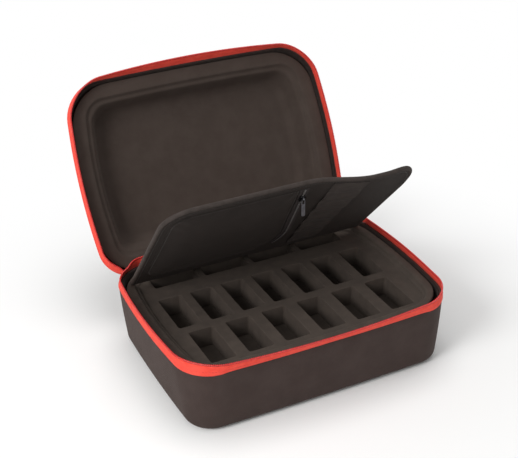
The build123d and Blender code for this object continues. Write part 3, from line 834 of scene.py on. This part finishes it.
def buildPocketPanel():
    # padded pouch on a grid: sewn down round its edge, full in the middle
    outline = panelOutline()
    under = flapShape["under"]
    rows, columns = 44, 44
    far = min(y for x, y in outline) + 0.05
    near = max(y for x, y in outline) - 0.05
    rings = []
    for row in range(rows + 1):
        y = far + (near - far) * (1 - math.cos(math.pi * row / rows)) / 2
        left, right = crossings(outline, y)
        line = []
        for column in range(columns + 1):
            x = left + (right - left) * (1 - math.cos(math.pi * column / columns)) / 2
            edge = min(x - left, right - x, (y - far) * 1.2, (near - y) * 1.2)
            rise = panel["swell"] * math.sqrt(max(1 - (1 - min(edge / panel["shoulder"], 1)) ** 2, 0))
            line.append((x, rise))
        top = [atFlap(x, y, under - rise) for x, rise in line]
        low = [atFlap(x, y, under + 0.3) for x, rise in reversed(line)]
        rings.append(top + low)
    mesh = loftMesh("flapPocket", rings, caps=(True, True))
    piece = finishMesh(mesh, cloth, None, ["flap_pocket_panel"])
    base = atFlapPlane(0, 0, under)
    held = [vertex.index for vertex in piece.data.vertices if (base - vertex.co).dot(flapUp) < 0.7 * mm]
    inflate(piece, held, panel["pressure"], panel["frames"], panel["cap"])
    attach(piece, "flap")
    # the seam that holds it down
    middle = (sum(x for x, y in outline) / len(outline), sum(y for x, y in outline) / len(outline))
    seam = []
    for x, y in outline + outline[:1]:
        inX, inY = middle[0] - x, middle[1] - y
        shift = panel["seamInset"] / math.hypot(inX, inY)
        seam.append(atFlap(x + inX * shift, y + inY * shift, under - 1.35))
    places = [(point, along, -flapUp) for point, along in walk(seam, stitch["pitch"])]
    sew("flapPocketStitches", places, width=panel["seamWidth"])


def buildFlapZip():
    under = flapShape["under"]
    half = flapZip["tapeWidth"] / 2
    thick = flapZip["tapeThickness"]
    rings = []
    for side, level in ((-half, under), (-half, under - thick), (half, under - thick), (half, under)):
        rings.append([atFlap(x, y, level) for x, y in zipLine(side)])
    mesh = loftMesh("flapZipTape", rings, closed=False, closeProfile=True)
    finishMesh(mesh, tapeGrey, "flap", ["flap_zip_tape"])
    line = [atFlap(x, y, under - thick - flapZip["coilHeight"] / 2) for x, y in zipLine()]
    teeth = [(point, along.cross(flapUp).normalized(), -flapUp)
             for point, along in walk(line, flapZip["toothPitch"])]
    mesh = ellipsoidRow("flapZipCoil", teeth, flapZip["coilWidth"], flapZip["toothPitch"] * 0.8,
                        flapZip["coilHeight"], 6, 5)
    finishMesh(mesh, nylonGrey, "flap", ["flap_zip_coil"], 60)


band = {"x": 66, "width": 40, "thickness": 1.1, "start": 16, "pitch": 29, "rise": 1.3, "count": 5,
        "foot": 2.5, "head": 13, "tail": 186, "tackLength": 1.9, "tackWidth": 0.55, "tackSway": 0.7}


def buildBand():
    # elastic laid in loops: sewn flat between them
    under = flapShape["under"]
    half = band["width"] / 2
    line = [(band["head"], 0)]
    for loop in range(band["count"]):
        near = band["start"] + loop * band["pitch"]
        for step in range(11):
            share = step / 10
            reach = near + band["foot"] + (band["pitch"] - 2 * band["foot"]) * share
            line.append((reach, band["rise"] * math.sin(math.pi * share) ** 0.7))
    # its tail is sewn into the rolled edge
    line.append((band["tail"], 0))
    inner = [(reach, under - lift) for reach, lift in line]
    outer = [(reach, under - lift - band["thickness"]) for reach, lift in line]
    rings = [[atFlap(band["x"] + half * across, -reach, level) for reach, level in inner + outer[::-1]]
             for across in (-1, -0.98, -0.4, 0.4, 0.98, 1)]
    mesh = loftMesh("elasticBand", rings, caps=(True, True))
    flattenWithFlap(finishMesh(mesh, elastic, "flap", ["elastic_band"], 50))
    # bar tacks between the loops
    places = []
    for tack in range(band["count"] + 1):
        reach = band["start"] + tack * band["pitch"]
        for step in range(25):
            x = band["x"] - half + 1.5 + (band["width"] - 3) * step / 24
            sway = band["tackSway"] if step % 2 else -band["tackSway"]
            point = atFlap(x, -reach + sway, under - band["thickness"] - 0.1)
            places.append((point, Vector((1, 0, 0)), -flapUp))
    flattenWithFlap(sew("bandTacks", places, length=band["tackLength"], width=band["tackWidth"]))


# Fabric hinges

# Levels run up the closed hinge from the base's rim; a blend runs between two of them
hinge = {"halfLength": 100, "thickness": 1.2,
         "lowSteps": (-1.5, 0.3, 1.5, 3, 5, 8, 12), "lowBlend": (-0.5, 4),
         "highSteps": (12, 16, 19, 21, 22.4, 23.3), "highBlend": (20, 24.5)}
flapHinge = {"halfWidth": 124, "back": 111.4, "front": 80.3, "low": 80.3, "thickness": 1.5,
             "facingThickness": 0.6, "facing": ((1, 4.6), (4, 4.1), (8, 3.9), (12, 3.9))}


def ribbonMesh(name, place, path, half, thickness, columns=24):
    # strip of cloth across the case that follows a path of (y, level) points
    rings = []
    for index, (y, level) in enumerate(path):
        before = path[max(index - 1, 0)]
        after = path[min(index + 1, len(path) - 1)]
        along = Vector((after[0] - before[0], after[1] - before[1])).normalized()
        shift = (-along[1] * thickness, along[0] * thickness)
        lines = [half * (2 * column / columns - 1) for column in range(columns + 1)]
        top = [place(x, y, level) for x in lines]
        low = [place(-x, y + shift[0], level + shift[1]) for x in lines]
        rings.append(top + low)
    return loftMesh(name, rings, caps=(True, True))


def buildHinges():
    # the case hinge bends at both edges, so it is built as two halves, one for each joint
    back = case["halfWidth"]
    for part, first, second in (("low", "base", "strip"), ("high", "strip", "lid")):
        name = "hinge" + part.title()
        path = [(back, level) for level in hinge[part + "Steps"]]
        mesh = ribbonMesh(name, atStrip, path, hinge["halfLength"], -hinge["thickness"])
        piece = finishMesh(mesh, tapeRed, None, ["hinge_strip"])
        start, end = (atStrip(0, back, level) for level in hinge[part + "Blend"])
        tuple(start)
        tuple(end)
        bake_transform(piece)
    # the flap hangs from a strip of cloth that is sewn to the tray's back lip
    low, lift, wide = flapHinge["low"], flapHinge["thickness"], flapHinge["halfWidth"]
    path = [(flapHinge["back"], low), (105, low), (97, low), (90, low), (flapHinge["front"], low)]
    mesh = ribbonMesh("flapStrip", atBase, path, wide, -lift)
    finishMesh(mesh, cloth, "base", ["flap_hinge_strip"])
    # and a facing runs from the strip on to the flap's back, shaped for the open flap
    top = low + lift + 0.1
    path = [(94, top), (90, top), (87, top + 0.5)]
    for reach, level in flapHinge["facing"]:
        point = atFlapPlane(0, -reach, level) / mm
        path.append((point.y, point.z))
    mesh = ribbonMesh("flapFacing", atBase, path, wide - 3, -flapHinge["facingThickness"])
    piece = finishMesh(mesh, cloth, None)
    tuple(atFlapPlane(0, -4, 4))
    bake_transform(piece)


# Zip sliders and pulls keep the frame's shape, with their edges eased

def easedCopy(node, name, body, bevelMm):
    mesh = frame["nodes"][node].data.copy()
    work = bmesh.new()
    work.from_mesh(mesh)
    bmesh.ops.remove_doubles(work, verts=work.verts, dist=0.00002)
    bmesh.ops.dissolve_limit(work, angle_limit=math.radians(4), verts=work.verts, edges=work.edges)
    work.to_mesh(mesh)
    work.free()
    addFlatUv(mesh)
    mesh.name = name
    piece = finishMesh(mesh, zinc, body, [node], 35)
    bevel = piece.modifiers.new("easedEdges", "BEVEL")
    bevel.width = bevelMm * mm
    bevel.segments = 2
    bevel.limit_method = "ANGLE"
    bevel.angle_limit = math.radians(40)
    bevel.harden_normals = True


def buildMetal():
    easedCopy("flap_slider", "flapZipSlider", "flap_zip_slider", 0.25)
    easedCopy("flap_pull", "flapZipPull", "flap_zip_pull", 0.2)
    for side in ("left", "right"):
        easedCopy("zip_slider_" + side, side + "ZipSlider", "base", 0.35)
        easedCopy("zip_pull_" + side, side + "ZipPull", side + "_pull", 0.2)


# Camera, light and floor

view = {"azimuth": -26.072, "elevation": 29.481, "roll": -0.686, "distance": 1358.17, "focalPixels": 1141,
        "imageWidth": 518, "target": (15.1, 82.0, 111.03)}


def buildCamera():
    azimuth, elevation, roll = (math.radians(view[key]) for key in ("azimuth", "elevation", "roll"))
    backward = Vector((math.sin(azimuth) * math.cos(elevation), -math.cos(azimuth) * math.cos(elevation),
                       math.sin(elevation)))
    level = Vector((math.cos(azimuth), math.sin(azimuth), 0))
    upward = backward.cross(level)
    right = level * math.cos(roll) + upward * math.sin(roll)
    up = upward * math.cos(roll) - level * math.sin(roll)
    data = bpy.data.cameras.new("camera")
    data.sensor_width = 36
    data.lens = view["focalPixels"] * data.sensor_width / view["imageWidth"]
    data.clip_end = 20
    camera = addObject("camera", data)
    matrix = Matrix((right, up, backward)).transposed().to_4x4()
    matrix.translation = (Vector(view["target"]) + backward * view["distance"]) * mm
    camera.matrix_world = matrix
    bpy.context.scene.camera = camera


# Lamp places in metres and powers in watts; the world's light is a strength, and the floor fades to white
lamps = {"keyLamp": {"place": (-1.6, -0.6, 1.2), "size": 0.9, "power": 28.5},
         "fillLamp": {"place": (0.5, -1.7, 0.5), "size": 1.2, "power": 3.3},
         "topLamp": {"place": (0.1, 0.1, 1.9), "size": 1.2, "power": 11}}
studio = {"lampAim": (0, 0.05, 0.1), "worldLight": 0.42, "floorReach": 4, "floorDrop": 0.0004,
          "fadeStart": 0.2, "fadeEnd": 0.5}


def addLamp(name, place, size, power):
    data = bpy.data.lights.new(name, "AREA")
    data.shape = "DISK"
    data.size = size
    data.energy = power
    lamp = addObject(name, data)
    lamp.location = place
    lamp.rotation_euler = (Vector(studio["lampAim"]) - Vector(place)).to_track_quat("-Z", "Y").to_euler()


def seenDirectly(tree):
    # 1 where the camera, a reflection or a refraction looks straight at this surface
    path = addNode(tree, "ShaderNodeLightPath")
    total = path.outputs["Is Camera Ray"]
    for ray in ("Is Glossy Ray", "Is Transmission Ray"):
        total = addNode(tree, "ShaderNodeMath", {"operation": "MAXIMUM"},
                        {0: total, 1: path.outputs[ray]}).outputs[0]
    return total


def buildStage():
    for name, lamp in lamps.items():
        addLamp(name, **lamp)
    world = bpy.data.worlds.new("studio")
    bpy.context.scene.world = world
    world.use_nodes = True
    tree = world.node_tree
    backdrop = tree.nodes["Background"]
    backdrop.inputs["Color"].default_value = (1, 1, 1, 1)
    strength = addNode(tree, "ShaderNodeMapRange", {"To Min": studio["worldLight"], "To Max": 1.0},
                       {"Value": seenDirectly(tree)})
    tree.links.new(strength.outputs[0], backdrop.inputs["Strength"])
    mesh = bpy.data.meshes.new("floor")
    reach = studio["floorReach"]
    corners = [(-reach, -reach, 0), (reach, -reach, 0), (reach, reach, 0), (-reach, reach, 0)]
    mesh.from_pydata(corners, [], [(0, 1, 2, 3)])
    floor = addObject("floor", mesh)
    floor.location.z = -studio["floorDrop"]
    # white paper that keeps the shadow near the case and runs into the white backdrop further off
    paper, tree, skin = startMaterial("whitePaper", {"Roughness": 0.9, "Base Color": linearColour("F7F7F6")})
    bumpFrom(tree, skin, [(mottle(tree, 4), 0.02, 0.1)])
    place = addNode(tree, "ShaderNodeTexCoord")
    distance = addNode(tree, "ShaderNodeVectorMath", {"operation": "LENGTH"}, {0: place.outputs["Object"]})
    fade = {"From Min": studio["fadeStart"], "From Max": studio["fadeEnd"],
            "interpolation_type": "SMOOTHSTEP"}
    far = addNode(tree, "ShaderNodeMapRange", fade, {"Value": distance.outputs["Value"]})
    glow = addNode(tree, "ShaderNodeEmission", {"Color": (1, 1, 1, 1), "Strength": 1.0})
    share = addNode(tree, "ShaderNodeMath", {"operation": "MULTIPLY"},
                    {0: far.outputs[0], 1: seenDirectly(tree)})
    mix = addNode(tree, "ShaderNodeMixShader", {},
                  {0: share.outputs[0], 1: skin.outputs[0], 2: glow.outputs[0]})
    tree.links.new(mix.outputs[0], tree.nodes["Material Output"].inputs["Surface"])
    mesh.materials.append(paper)
    bpy.context.scene.view_settings.view_transform = "Standard"


buildShells()
print("shells built")
buildZips()
print("zips built")
buildTray()
buildLining()
print("foam built")
buildFlapBoard()
buildPocketPanel()
buildFlapZip()
buildBand()
print("flap built")
buildHinges()
buildMetal()
print("hinges and metal built")
buildCamera()
buildStage()
